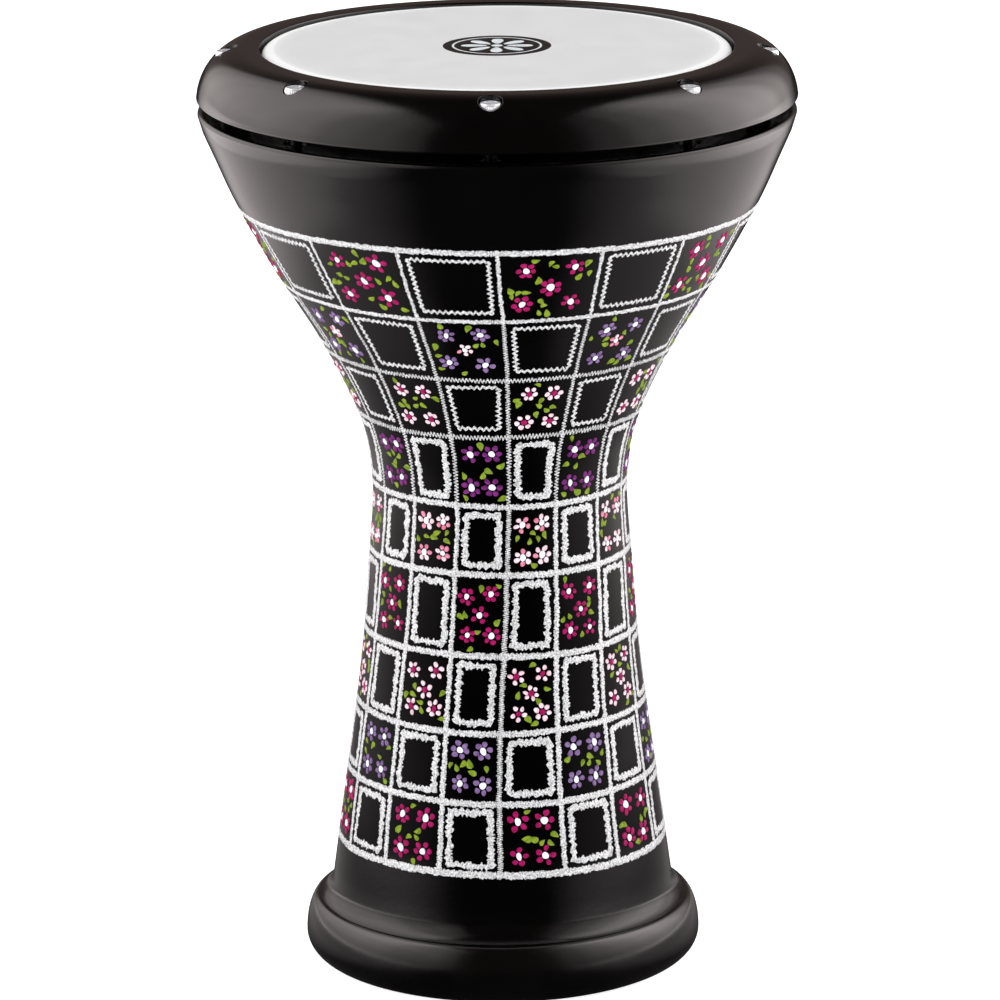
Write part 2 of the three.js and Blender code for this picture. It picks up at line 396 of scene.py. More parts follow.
def metal(name, dark, light, low, high, metallic=1.0):
    """Bare or plated metal, with fine uneven gloss."""
    grain = 900
    nodes = Nodes(name, Metallic=metallic)
    nodes.colours(nodes.noise(grain, 3), [(0.3, dark), (0.7, light)])
    nodes.roughness(nodes.noise(grain / 2, 4), low, high)
    nodes.bump(nodes.noise(grain * 2, 2), 0.08, 0.0002)
    return nodes.material


def film_plastic():
    """The coated polyester head: off-white with faint clouding from play, and a painted highlight that
    lightens it towards the rim where it turns down.
    """
    nodes = Nodes("head_polyester", Specular_IOR_Level=0.25)
    tree = nodes.tree
    cloud, highlight_width = 2 * MM, 8
    flat = add_node(tree, "VectorMath", nodes.place, (1, 1, 0), operation="MULTIPLY")
    radius = add_node(tree, "VectorMath", flat.outputs["Vector"], operation="LENGTH").outputs["Value"]
    clouded = add_node(tree, "Math", nodes.noise(14, 5, 0.6), cloud, radius, operation="MULTIPLY_ADD")
    inner, outer = (FILM_FLAT_RADIUS - highlight_width) * MM, FILM_FLAT_RADIUS * MM
    edge = add_node(tree, "MapRange", clouded.outputs["Value"], inner, outer)
    # This ramp lightens the colour towards the shoulder: a painted highlight along the rim.
    nodes.colours(edge.outputs["Result"], [
        (0, (0.73, 0.73, 0.735)),
        (0.55, (0.76, 0.76, 0.765)),
        (0.9, (0.82, 0.825, 0.83)),
        (1, (0.97, 0.97, 0.97)),
    ])
    nodes.roughness(nodes.noise(60, 5), 0.38, 0.5)
    nodes.bump(nodes.noise(1100, 3), 0.12, 0.0002)
    return nodes.material


PAINTS = {
    "magenta": brushed_on("magenta_paint", (0.19, 0.0005, 0.05), (0.35, 0.001, 0.1)),
    "pink": brushed_on("pink_paint", (0.52, 0.11, 0.18), (0.68, 0.25, 0.36)),
    "lavender": brushed_on("lavender_paint", (0.12, 0.06, 0.17), (0.21, 0.13, 0.29)),
    "purple": brushed_on("purple_paint", (0.08, 0.007, 0.08), (0.17, 0.016, 0.16)),
    "pale": brushed_on("pale_pink_paint", (0.62, 0.38, 0.44), (0.79, 0.66, 0.72)),
    "white": brushed_on("white_paint", (0.6, 0.68, 0.71), (0.82, 0.84, 0.86)),
    "green": brushed_on("green_paint", (0.1, 0.16, 0.006), (0.2, 0.28, 0.018)),
}
SILVER = silver_paint()


def finish_piece(piece, body, material, slot, *nodes):
    """Gives a piece its material and the body it moves with, and hides the CAD nodes it stands for. The slot
    is not used.
    """
    piece.data.materials.clear()
    piece.data.materials.append(material)
    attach(piece, body)
    if nodes:
        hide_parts(*nodes)
    return piece


# ---------------------------------------------------------------- the drum's own pieces


def make_shell():
    """The cast shell: spigot, flange and fillet, flare, neck, bowl, lip, shelf and bearing edge."""
    slopes = np.gradient(WALL_CURVE, axis=0)
    slopes /= np.linalg.norm(slopes, axis=1)[:, None]
    inner = [(r - WALL * t[1], z + WALL * t[0]) for (r, z), t in zip(WALL_CURVE, slopes)]
    inner = [point for point in inner if point[1] < RIM_UNDERSIDE]
    start = math.radians(COVE_START)
    cove_centre = (wall_radius(COVE_TOP) + COVE * math.cos(start), COVE_TOP + COVE * math.sin(start))
    outline = [
        (SPIGOT_INNER, SPIGOT_BOTTOM),
        (SPIGOT_OUTER, SPIGOT_BOTTOM),
        (SPIGOT_OUTER, FLANGE_BOTTOM),
        (FLANGE_RADIUS - 0.4, FLANGE_BOTTOM),
        (FLANGE_RADIUS - 0.3, FLANGE_BOTTOM + 0.15),
        *arc(cove_centre, (-COVE, -COVE), COVE_END, COVE_START, 16),
        *(point for point in WALL_CURVE if point[1] > COVE_TOP + 1),
        *arc((LIP_RADIUS - 2, SHELF_TOP - 2), (2, 2), 0, 90, 8),
        (LIP_RADIUS - 5, SHELF_TOP),
        (COLLAR_OUTER + 0.6, SHELF_TOP),
        (COLLAR_OUTER, SHELF_TOP + 0.6),
        *arc(((COLLAR_INNER + COLLAR_OUTER) / 2, COLLAR_TOP - 2), (2, 2), 0, 180, 12),
        (COLLAR_INNER, COLLAR_FOOT),
        *reversed(inner),
    ]
    shell = lathe("shell_casting", outline)
    combine(shell, posts(screw_places(), INSERT_BORE, INSERT_BORE_BOTTOM, SHELF_TOP + 1), "DIFFERENCE")
    combine(shell, posts(screw_places(), TAPPED_BORE, TAPPED_BORE_BOTTOM, SHELF_TOP), "DIFFERENCE")
    paint = lacquer("shell_lacquer", (0.0004, 0.0003, 0.0003), (0.0009, 0.0008, 0.0008), 0.13, 0.19, 0.05)
    flatten_band(paint)
    finish_piece(smooth(shell), "drum", paint.material, "shell_paint", "shell")


def make_foot_ring():
    top = FLANGE_BOTTOM - 0.1
    below = (FOOT_MAX_RADIUS - FOOT_REST_RADIUS, FOOT_MAX_HEIGHT)
    above = (FOOT_MAX_RADIUS - FLANGE_RADIUS, top - FOOT_MAX_HEIGHT)
    outline = [
        (FOOT_INNER, 1),
        (FOOT_INNER + 1, 0),
        (FOOT_REST_RADIUS - 1, 0),
        *arc((FOOT_REST_RADIUS, FOOT_MAX_HEIGHT), below, -90, 0, 20),
        *arc((FLANGE_RADIUS, FOOT_MAX_HEIGHT), above, 5, 90, 18),
        (SPIGOT_OUTER + 0.8, top),
        (SPIGOT_OUTER + 0.3, top - 0.5),
        (SPIGOT_OUTER + 0.3, SPIGOT_BOTTOM - 0.3),
        (FOOT_INNER, SPIGOT_BOTTOM - 0.3),
    ]
    foot = lathe("foot_bead", outline)
    paint = lacquer("foot_lacquer", (0.0005, 0.0004, 0.0004), (0.001, 0.0008, 0.0008), 0.15, 0.22, 0.05, 0.7)
    finish_piece(smooth(foot), "drum", paint.material, "foot_paint", "foot_ring")


def make_film():
    """The head: a flat disc with a soft shoulder that turns down over the bearing edge."""
    drop = FILM_SHOULDER_DROP
    centre = (FILM_FLAT_RADIUS, FILM_TOP - drop)
    width = FILM_OUTER - FILM_FLAT_RADIUS
    outline = [
        (0, FILM_TOP - FILM),
        (60, FILM_TOP - FILM),
        *arc(centre, (width - FILM, drop - FILM), 90, 0, 14),
        (FILM_OUTER - FILM, FILM_BOTTOM),
        (FILM_OUTER, FILM_BOTTOM),
        *arc(centre, (width, drop), 0, 90, 18),
        *((radius, FILM_TOP) for radius in (95, 80, 60, 40, 20)),
        (0, FILM_TOP),
    ]
    film = lathe("drumhead_film", outline, closed=False)
    finish_piece(smooth(film, 60), "drum", film_plastic(), "drum_film", "head_film")


def ring_top(radius):
    """The height of the tension ring's upper surface at a radius."""
    if radius < RING_CREST:
        return RING_TOP
    out = (radius - RING_CREST) / (RING_OUTER - RING_CREST)
    return RING_TOP - RING_SIDE_DEPTH * (1 - math.sqrt(1 - out * out))


def make_tension_ring():
    side_centre = (RING_CREST, RING_TOP - RING_SIDE_DEPTH)
    side_width = RING_OUTER - RING_CREST
    outline = [
        (RING_OUTER - RING_WALL, RING_BOTTOM + 0.5),
        (RING_OUTER - RING_WALL + 0.5, RING_BOTTOM),
        *arc((RING_OUTER - 0.9, RING_BOTTOM + 0.8), (0.8, 0.8), -90, 0, 5),
        *arc(side_centre, (side_width, RING_SIDE_DEPTH), 7, 90, 48),
        (RING_INNER + 3.5, RING_TOP),
        *arc((RING_INNER + 0.7, RING_TOP - 0.7), (0.7, 0.7), 90, 180, 6),
        (RING_INNER, RING_PRESS_BOTTOM + 0.4),
        (RING_INNER + 0.4, RING_PRESS_BOTTOM),
        (RING_PRESS_OUTER, RING_PRESS_BOTTOM),
        (RING_PRESS_OUTER, RING_TOP_UNDERSIDE),
        (RING_OUTER - 12, RING_TOP_UNDERSIDE),
        (RING_OUTER - RING_WALL - 2, RING_TOP_UNDERSIDE - 8),
    ]
    ring = lathe("rim_casting", outline, segments=384)
    bosses = posts(screw_places(), BOSS_RADIUS, BOSS_BOTTOM, RING_TOP_UNDERSIDE + 1)
    envelope = lathe("tool", [
        (0, RING_BOTTOM),
        *arc(side_centre, (side_width - BOSS_SKIN, RING_SIDE_DEPTH - BOSS_SKIN), 7, 90, 24),
        (0, RING_TOP - BOSS_SKIN),
    ], segments=384, closed=False)
    combine(bosses, envelope, "INTERSECT")
    combine(ring, bosses, "UNION")
    combine(ring, posts(screw_places(), POCKET_RADIUS, POCKET_FLOOR, RING_TOP + 1), "DIFFERENCE")
    combine(ring, posts(screw_places(), SCREW_HOLE, BOSS_BOTTOM - 1, POCKET_FLOOR + 1), "DIFFERENCE")
    paint = lacquer("rim_lacquer", (0.0004, 0.0003, 0.0003), (0.0009, 0.0007, 0.0007), 0.12, 0.17, 0.05)
    finish_piece(smooth(ring), "rim", paint.material, "ring_paint", "tension_ring")
    return paint.material


def make_pocket_lips(paint):
    """The rounded edge of each screw pocket, where the paint has drawn back into a small bead."""
    around, across, bead = 72, 8, 0.2
    vertices, faces = [], []
    for x, y in screw_places():
        first = len(vertices)
        for k in range(around):
            angle = 2 * math.pi * k / around
            outward = Vector((math.cos(angle), math.sin(angle), 0))
            rim = Vector((x, y, 0)) + outward * POCKET_RADIUS * MM
            rim.z = (ring_top(rim.xy.length / MM) - bead * 0.8) * MM
            for j in range(across):
                turn = 2 * math.pi * j / across
                vertices.append(rim + bead * MM * (outward * math.cos(turn) + Vector((0, 0, math.sin(turn)))))
        for k in range(around):
            for j in range(across):
                a, b = first + k * across, first + (k + 1) % around * across
                n = (j + 1) % across
                faces.append((a + j, b + j, b + n, a + n))
    lips = new_object("pocket_lips", vertices, faces)
    finish_piece(smooth(lips, 80), "rim", paint, "ring_paint")


def screw_rows(top, tip):
    """The screw's outline from its tip up, as rows of (height, radius at an angle in radians)."""
    head_bottom = top - HEAD_HEIGHT
    top -= HEAD_SUNK
    thread_top = head_bottom - 8

    def round_row(radius):
        return lambda angle: radius

    def thread(height):
        def radius(angle):
            phase = (height - angle / (2 * math.pi)) % 1
            crest = 1 - abs(2 * phase - 1)
            return THREAD_ROOT + THREAD_DEPTH * min(max(crest * 1.25 - 0.12, 0), 1)
        return radius

    def knurl(radius):
        return lambda angle: radius - 0.12 + 0.12 * math.cos(36 * angle)

    def hexagon(scale):
        sixth = math.pi / 3
        return lambda angle: scale * SOCKET_FLATS / math.cos((angle + sixth / 2) % sixth - sixth / 2)

    rows = [(tip, round_row(1.9)), (tip + 0.1, round_row(2.2))]
    rows += [(height, thread(height)) for height in np.arange(tip + 0.6, thread_top, 0.125)]
    rows += [
        (thread_top + 0.3, round_row(2.45)),
        (thread_top + 0.8, round_row(SHANK_RADIUS)),
        (head_bottom, round_row(SHANK_RADIUS)),
        (head_bottom, round_row(HEAD_RADIUS - 0.3)),
        (head_bottom + 0.3, round_row(HEAD_RADIUS)),
        (head_bottom + 0.5, knurl(HEAD_RADIUS)),
    ]
    rows += [(height, knurl(HEAD_RADIUS)) for height in (head_bottom + 2.5, top - 1.15)]
    rows += [
        (top - 1.05, round_row(HEAD_RADIUS - 0.22)),
        (top - 0.9, round_row(HEAD_RADIUS - 0.2)),
        (top - 0.75, round_row(HEAD_RADIUS - 0.1)),
        (top - 0.45, round_row(HEAD_RADIUS - 0.24)),
        (top - 0.2, round_row(HEAD_RADIUS - 0.5)),
        (top - 0.05, round_row(HEAD_RADIUS - 0.85)),
        (top, round_row(HEAD_RADIUS - 1.25)),
        (top, round_row(3.25)),
        (top - 0.08, round_row(3.1)),
        (top - 0.3, hexagon(1.02)),
        (top - SOCKET_DEPTH, hexagon(1.0)),
    ]
    return rows


def make_screw(number, plate, thread):
    """A plated cap screw: knurled head, hexagon socket, and a thread with a pitch of 1 mm."""
    node = f"tension_screw_{number}"
    low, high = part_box(node)
    x, y = screw_places()[number - 1]
    around = 288
    turned = 1.1 * number
    socket_middle = high[2] - 3.6 * MM
    head_end = high[2] - (HEAD_HEIGHT + 0.2) * MM
    vertices, faces = [], []
    for height, radius in screw_rows(high[2] / MM, low[2] / MM):
        for k in range(around):
            angle = 2 * math.pi * k / around
            r = radius(angle) * MM
            vertices.append((x + r * math.cos(angle + turned), y + r * math.sin(angle + turned), height * MM))
    rows = len(vertices) // around
    for row in range(rows - 1):
        for k in range(around):
            n = (k + 1) % around
            a, b = row * around, (row + 1) * around
            faces.append((a + k, a + n, b + n, b + k))
    faces.append(tuple(reversed(range(around))))
    centre = len(vertices)
    vertices.append((x, y, socket_middle))
    last = (rows - 1) * around
    faces += [(last + k, last + (k + 1) % around, centre) for k in range(around)]
    screw = new_object(f"cap_screw_{number}", vertices, faces)
    finish_piece(smooth(screw, 40), f"screw_{number}", plate, "screw_chrome", node)
    # Below the head the screw takes the thread material, whose near-black colour is painted shade.
    screw.data.materials.append(thread)
    for face in screw.data.polygons:
        face.material_index = int(face.center.z < head_end)


def make_print():
    """The print, a little behind the middle of the head: a black disc with a rosette and a rim line."""
    height = FILM_TOP + 0.05
    disc = lathe("head_print_disc", [
        (0, FILM_TOP - 0.2), (PRINT_RADIUS, FILM_TOP - 0.2), (PRINT_RADIUS, height - 0.02),
        (PRINT_RADIUS - 0.1, height), (PRINT_RADIUS / 2, height), (0, height),
    ], segments=128, closed=False)
    ink = Nodes("print_ink", Specular_IOR_Level=0.2)
    ink.colours(ink.noise(300, 3), [(0.3, (0.008, 0.007, 0.007)), (0.7, (0.014, 0.012, 0.012))])
    ink.roughness(ink.noise(500), 0.3, 0.42)
    finish_piece(smooth(disc, 60), "drum", ink.material, "head_print")
    lift, vertices, faces = height + 0.04, [], []

    def flat_shape(points):
        first = len(vertices)
        vertices.extend((x * MM, y * MM, lift * MM) for x, y in points)
        vertices.extend((x * MM, y * MM, (lift - 0.15) * MM) for x, y in points)
        count = len(points)
        faces.append(tuple(range(first, first + count)))
        faces.append(tuple(reversed(range(first + count, first + 2 * count))))
        for k in range(count):
            n = (k + 1) % count
            faces.append((first + count + k, first + count + n, first + n, first + k))

    for petal in range(ROSETTE_PETALS):
        turn = 2 * math.pi * petal / ROSETTE_PETALS
        outline = []
        for k in range(20):
            angle = 2 * math.pi * k / 20
            along = PETAL_CENTRE + PETAL_REACH * math.cos(angle)
            aside = PETAL_WIDTH * math.sin(angle) * (1 + 0.35 * math.cos(angle))
            outline.append((along * math.cos(turn) - aside * math.sin(turn),
                            along * math.sin(turn) + aside * math.cos(turn)))
        flat_shape(outline)
    flat_shape(arc((0, 0), (ROSETTE_HUB, ROSETTE_HUB), 0, 345, 23))
    rosette = new_object("head_print_rosette", vertices, faces)
    finish_piece(rosette, "drum", PAINTS["white"], "paint_white")
    inner, outer = PRINT_LINE
    rim_line = lathe("head_print_line", [
        (inner, lift - 0.15), (outer, lift - 0.15), (outer, lift), (inner, lift),
    ], segments=128)
    finish_piece(rim_line, "drum", PAINTS["white"], "paint_white")
    for piece in (disc, rosette, rim_line):
        piece.data.transform(Matrix.Translation((0, PRINT_BACK * MM, 0)))


# ---------------------------------------------------------------- the painted band


def on_shell(angle, height, right, up, lift):
    """Points on the shell's wall in metres: at an angle and a height in mm, moved over the surface by
    so many mm to the right and up, and lifted off it. All may be arrays."""
    slope = wall_slope(height)
    along = 1 / np.sqrt(1 + slope**2)
    moved = height + up * along
    radius = wall_radius(moved)
    turn = angle + right / radius
    out = radius + lift * along
    return np.stack([out * np.sin(turn), -out * np.cos(turn), moved - lift * slope * along], -1) * MM


class Relief:
    """Paint of one colour that stands a little proud of the shell: it gathers dabs, leaves and strokes."""

    def __init__(self):
        self.vertices = []
        self.faces = []
        self.count = 0

    def add(self, points, faces):
        self.vertices.append(points.reshape(-1, 3))
        self.faces += [tuple(self.count + corner for corner in face) for face in faces]
        self.count += self.vertices[-1].shape[0]

    def sheet(self, points, loop=False):
        """A grid of points, rows by columns, joined as quads; a loop joins its last row to its first."""
        rows, columns = points.shape[:2]
        faces = []
        for i in range(rows if loop else rows - 1):
            a, b = i * columns, (i + 1) % rows * columns
            faces += [(a + j, a + j + 1, b + j + 1, b + j) for j in range(columns - 1)]
        self.add(points, faces)

    def piece(self, name, material, slot):
        paint = new_object(name, np.concatenate(self.vertices), self.faces)
        finish_piece(smooth(paint, 80), "drum", material, slot)


reliefs = {name: Relief() for name in PAINTS}
chance = np.random.default_rng(SEED)


def dab(relief, angle, height, right, up, size, turn, thickness=0.34):
    """One press of the brush: an oval dome with a slightly uneven edge."""
    around = 14
    theta = np.linspace(0, 2 * np.pi, around, endpoint=False)
    phases = chance.uniform(0, 2 * np.pi, 2)
    edge = 1 + 0.07 * np.sin(2 * theta + phases[0]) + 0.05 * np.sin(3 * theta + phases[1])
    x = size[0] * edge * np.cos(theta)
    y = size[1] * edge * np.sin(theta)
    rings = [(1.0, -0.06), (0.95, 0.45), (0.78, 0.8), (0.42, 0.97)]
    points = []
    for scale, lift in rings:
        across = right + scale * (x * math.cos(turn) - y * math.sin(turn))
        upward = up + scale * (x * math.sin(turn) + y * math.cos(turn))
        points.append(on_shell(angle, height, across, upward, np.full(around, lift * thickness)))
    points.append(on_shell(angle, height, np.array([right]), np.array([up]), np.array([thickness])))
    faces = []
    for ring in range(len(rings) - 1):
        for k in range(around):
            a, b, n = ring * around, (ring + 1) * around, (k + 1) % around
            faces.append((a + k, a + n, b + n, b + k))
    last = (len(rings) - 1) * around
    faces += [(last + k, last + (k + 1) % around, last + around) for k in range(around)]
    relief.add(np.concatenate(points), faces)


def flower(petals, centre, angle, height, right, up, radius):
    """Five or six petals round a centre, none of them quite alike."""
    count = 6 if chance.random() < 0.75 else 5
    start = chance.uniform(0, 2 * np.pi)
    for k in range(count):
        turn = start + 2 * np.pi * (k + chance.uniform(-0.13, 0.13)) / count
        reach = radius * chance.uniform(0.66, 0.74)
        size = (radius * chance.uniform(0.27, 0.34), radius * chance.uniform(0.24, 0.3))
        lean = turn + chance.uniform(-0.5, 0.5)
        colour = "pale" if petals == "pink" and chance.random() < 0.5 else petals
        across, upward = right + reach * math.cos(turn), up + reach * math.sin(turn)
        dab(reliefs[colour], angle, height, across, upward, size, lean)
    size = (radius * chance.uniform(0.26, 0.35), radius * chance.uniform(0.32, 0.42))
    dab(reliefs[centre], angle, height, right, up, size, chance.uniform(-0.5, 0.5), 0.5)


def leaf(angle, height, right, up, turn, length):
    """A short stroke of green with a bend in it, round at one end and pointed at the other."""
    rows, columns = 10, 5
    t = np.linspace(0, 1, rows)
    width = length * chance.uniform(0.28, 0.37) * np.sin(np.pi * t**0.62) ** 0.8 + 0.03
    bend = chance.uniform(-0.16, 0.16) * length
    spine_x = (t - 0.5) * length
    spine_y = bend * np.sin(np.pi * t)
    across = np.linspace(-1, 1, columns)
    x = np.repeat(spine_x[:, None], columns, 1)
    y = spine_y[:, None] + width[:, None] * across
    dome = np.sqrt(1 - across**2)[None, :]
    ends = np.sin(np.pi * np.clip(t, 0.06, 0.94))[:, None] ** 0.5
    lift = 0.36 * dome * ends - 0.04
    points = on_shell(
        angle, height,
        right + x * math.cos(turn) - y * math.sin(turn),
        up + x * math.sin(turn) + y * math.cos(turn),
        lift,
    )
    reliefs["green"].sheet(points)


def teeth(count, every, amount):
    """Uneven teeth along an edge: a random reach at every few points, straight between them."""
    knots = chance.uniform(-amount, amount, count // every + 2)
    return np.interp(np.arange(count) / every, np.arange(len(knots)), knots)


def torn(count, amount):
    """A torn edge: pointed teeth of all lengths, on a slower swell."""
    return teeth(count, 1, amount) + teeth(count, 4, amount * 0.25)


def drift(count, every, amount):
    """A slow, smooth wander along a stroke."""
    knots = chance.uniform(-amount, amount, count // every + 3)
    at = np.arange(count) / every
    step = at.astype(int)
    part = (1 - np.cos((at - step) * np.pi)) / 2
    return knots[step] * (1 - part) + knots[step + 1] * part


def resample(path, step):
    """Points at even steps along a path of (angle, height), measured over the shell's wall."""
    path = np.asarray(path, float)
    middle = (path[1:] + path[:-1]) / 2
    moves = np.diff(path, axis=0)
    lengths = np.hypot(moves[:, 0] * wall_radius(middle[:, 1]),
                       moves[:, 1] * np.sqrt(1 + wall_slope(middle[:, 1])**2))
    reach = np.concatenate([[0], np.cumsum(lengths)])
    at = np.linspace(0, reach[-1], max(int(reach[-1] / step), 4))
    return np.stack([np.interp(at, reach, path[:, 0]), np.interp(at, reach, path[:, 1])], -1)


def stroke(relief, path, left, right, sway, thickness, loop=False):
    """A raised line along a path of (angle, height), with its own reach to each side at every point."""
    angle, height = path[:, 0], path[:, 1]
    ahead = np.roll(path, -1, 0) - np.roll(path, 1, 0)
    if not loop:
        ahead[0], ahead[-1] = path[1] - path[0], path[-1] - path[-2]
    x = ahead[:, 0] * wall_radius(height)
    y = ahead[:, 1] * np.sqrt(1 + wall_slope(height)**2)
    length = np.hypot(x, y) + 1e-9
    side_x, side_y = -y / length, x / length
    profile = ((1, -0.12), (0.8, 0.7), (0.0, 1.0), (-0.8, 0.7), (-1, -0.12))
    ridges = 1 + chance.uniform(-0.3, 0.3, len(path))
    points = []
    for across, lift in profile:
        reach = across * np.where(across > 0, left, right) + sway
        points.append(on_shell(angle, height, reach * side_x, reach * side_y, lift * thickness * ridges))
    relief.sheet(np.stack(points, 1), loop)


def shifted(path, offset):
    """The path moved sideways over the wall, by so many mm at each point."""
    ahead = np.gradient(path, axis=0)
    stretch = np.sqrt(1 + wall_slope(path[:, 1])**2)
    x = ahead[:, 0] * wall_radius(path[:, 1])
    y = ahead[:, 1] * stretch
    length = np.hypot(x, y) + 1e-9
    angle = path[:, 0] - offset * y / length / wall_radius(path[:, 1])
    return np.stack([angle, path[:, 1] + offset * x / length / stretch], -1)


def stitches(relief, path, half_width, pitch):
    """A line drawn as one long zigzag, like a row of stitches."""
    path = resample(path, pitch / 2)
    count = len(path)
    side = np.where(np.arange(count) % 2, 1, -1)
    zigzag = shifted(path, side * half_width * (1.05 + teeth(count, 1, 0.25)) + teeth(count, 6, 0.2))
    zigzag = resample(zigzag, 0.3)
    thin = 0.27 + teeth(len(zigzag), 3, 0.07)
    stroke(relief, zigzag, thin, thin, np.zeros(len(zigzag)), 0.3)


# For each manner of line, the step between its points and how deep its edges are torn, in mm.
MANNERS = {"ragged": (0.5, 0.5), "torn": (0.72, 0.85), "wavy": (0.3, 0.2)}


def line(relief, path, half_width, manner, loop=False):
    """A silver line: ragged with fine teeth, torn with coarse ones, or wavy from side to side."""
    step, tear = MANNERS[manner]
    path = resample(path, step)
    if loop:
        path = path[:-1]
    count = len(path)
    wander = drift(count, 40, 0.3)
    if loop:
        wander *= np.sin(np.linspace(0, np.pi, count))
    if manner == "wavy":
        beat = np.arange(count) / 9 % 1
        wander += 0.7 * (abs(4 * beat - 2) - 1) * (1 + teeth(count, 9, 0.45))
        left, right = half_width + teeth(count, 2, tear), half_width + teeth(count, 2, tear)
    else:
        left, right = half_width + torn(count, tear), half_width + torn(count, tear)
    stroke(relief, path, left, right, wander, 0.24, loop)


# How far the grid is turned round the drum, in degrees, and how its uprights lean from it with the height.
GRID_TURN = 2.9
GRID_LEAN = 1.9
LEAN_HEIGHT = 240
LEAN_LENGTH = 300
# The uprights' half width at heights, in mm.
UPRIGHTS = [(59, 1.3), (160, 1.2), (263, 1.0), (325, 0.8), (361, 0.85)]
column_wander = chance.uniform(-0.6, 0.6, (COLUMNS, 2))


def column_angle(column, height):
    """Where an upright line crosses a height, in radians: they all lean a little with the neck."""
    wave = 2 * np.pi * (np.asarray(height, float) - LEAN_HEIGHT) / LEAN_LENGTH
    own = column_wander[column % COLUMNS]
    degrees = GRID_TURN + GRID_LEAN * np.cos(wave) + own[0] * np.sin(wave / 2) + own[1] * np.cos(wave)
    return np.radians(degrees + 360 * column / COLUMNS)


def upright_width(height):
    return np.interp(height, *zip(*UPRIGHTS))


def frame_path(column, low, high):
    """A rectangle with slightly rounded corners inside a cell, as a closed path of (angle, height)."""
    inset_x, inset_y = chance.uniform(4.1, 4.7), chance.uniform(4.1, 4.8)
    corner = 0.5
    bottom, top = low + inset_y, high - inset_y * 0.92
    path = []
    corners = ((bottom, False, 180), (bottom, True, 270), (top, True, 0), (top, False, 90))
    for centre_height, right_side, start in corners:
        inward_y = corner if centre_height == bottom else -corner
        height = centre_height + inward_y
        radius = float(wall_radius(height))
        edge = column_angle(column + 1, height) if right_side else column_angle(column, height)
        angle = edge + (-1 if right_side else 1) * (inset_x + corner) / radius
        for turn in np.radians(np.linspace(start, start + 90, 5)):
            path.append((angle + corner * math.cos(turn) / radius, height + corner * math.sin(turn)))
    return path + path[:1]


LAYOUTS = {
    "five": [(-0.27, 0.27), (0.27, 0.3), (0.02, 0.0), (-0.27, -0.27), (0.26, -0.26)],
    "four": [(-0.23, 0.27), (0.24, 0.28), (-0.24, -0.27), (0.23, -0.26)],
    "four_and_one": [(-0.25, 0.26), (0.24, 0.29), (-0.25, -0.25), (0.25, -0.27), (0.0, 0.02)],
}


def paint_flower_cell(column, low, high, petals, centre, layout, bloom, leaves):
    """A bunch of flowers, then leaves in the room that is left."""
    height = (low + high) / 2
    angle = float(column_angle(column, height) + column_angle(column + 1, height)) / 2
    radius = float(wall_radius(height))
    width = float(column_angle(column + 1, height) - column_angle(column, height)) * radius - 3.4
    tall = (high - low) * math.sqrt(1 + float(wall_slope(height))**2) - 3.8
    taken = []
    for i, (across, upward) in enumerate(LAYOUTS[layout]):
        right = across * width + chance.uniform(-0.4, 0.4)
        up = upward * tall + chance.uniform(-0.5, 0.5)
        small = layout == "four_and_one" and i == 4
        size = bloom * (0.85 if small else chance.uniform(0.92, 1.08))
        flower("pink" if small else petals, centre, angle, height, right, up, size)
        taken.append((right, up, size * 1.02))
    placed = 0
    for _ in range(400):
        if placed == leaves:
            break
        length = chance.uniform(0.75, 1.1) * min(bloom, 4.5)
        right = chance.uniform(-0.5, 0.5) * (width - length * 0.7)
        up = chance.uniform(-0.5, 0.5) * (tall - length * 0.7)
        if all(math.hypot(right - x, up - y) > size + length * 0.3 for x, y, size in taken):
            leaf(angle, height, right, up, chance.uniform(0, 2 * np.pi), length)
            taken.append((right, up, length * 0.36))
            placed += 1


def paint_upright(relief, column):
    """One upright line over the whole band: stitched in the stitched rows, and the first one in all rows
    but the top one."""
    for row in range(len(ROWS)):
        high, low = LINES[row][0], LINES[row + 1][0]
        heights = np.linspace(low - 0.5, high + 0.5, 24)
        path = np.stack([column_angle(column, heights), heights], -1)
        half_width = float(upright_width((low + high) / 2))
        if row in STITCHED_ROWS or (column == 0 and row > 0):
            stitches(relief, path, half_width * 0.95, 1.0 if column == 0 and row > 3 else 1.5)
        else:
            line(relief, path, half_width, "ragged")


def paint_band():
    """The band: a silver grid of cells, painted in turn with flowers and with a plain silver frame."""
    rounds, uprights, frames = Relief(), Relief(), Relief()
    for height, half_width, manner in LINES:
        angles = np.linspace(0, 2 * np.pi, 181)
        around = np.stack([angles, height + 0.35 * np.sin(3 * angles + height)], -1)
        if manner == "stitched":
            stitches(rounds, around, half_width, 1.6)
        else:
            line(rounds, around, half_width, manner, loop=True)
    for column in range(COLUMNS):
        paint_upright(uprights, column)
    for row, (petals, centre, layout, bloom, leaves) in enumerate(ROWS):
        high, low = LINES[row][0], LINES[row + 1][0]
        for column in range(COLUMNS):
            if (row + column) % 2 == 0:
                paint_flower_cell(column, low, high, petals, centre, layout, bloom, leaves)
            else:
                manner, half_width = ("wavy", 0.85) if row < WAVY_FRAME_ROWS else ("torn", 1.5)
                line(frames, frame_path(column, low, high), half_width, manner, loop=True)
    rounds.piece("silver_rounds", SILVER, "paint_silver")
    uprights.piece("silver_uprights", SILVER, "paint_silver")
    frames.piece("silver_frames", SILVER, "paint_silver")
    for name, relief in reliefs.items():
        relief.piece(f"{name}_paint_relief", PAINTS[name], f"paint_{name}")


# ---------------------------------------------------------------- the studio


BANK_DISTANCE = 0.75
BANK_REACH = 1.8
BANK_LENGTH = 2 * BANK_REACH
BANK_HEIGHT = 2.6
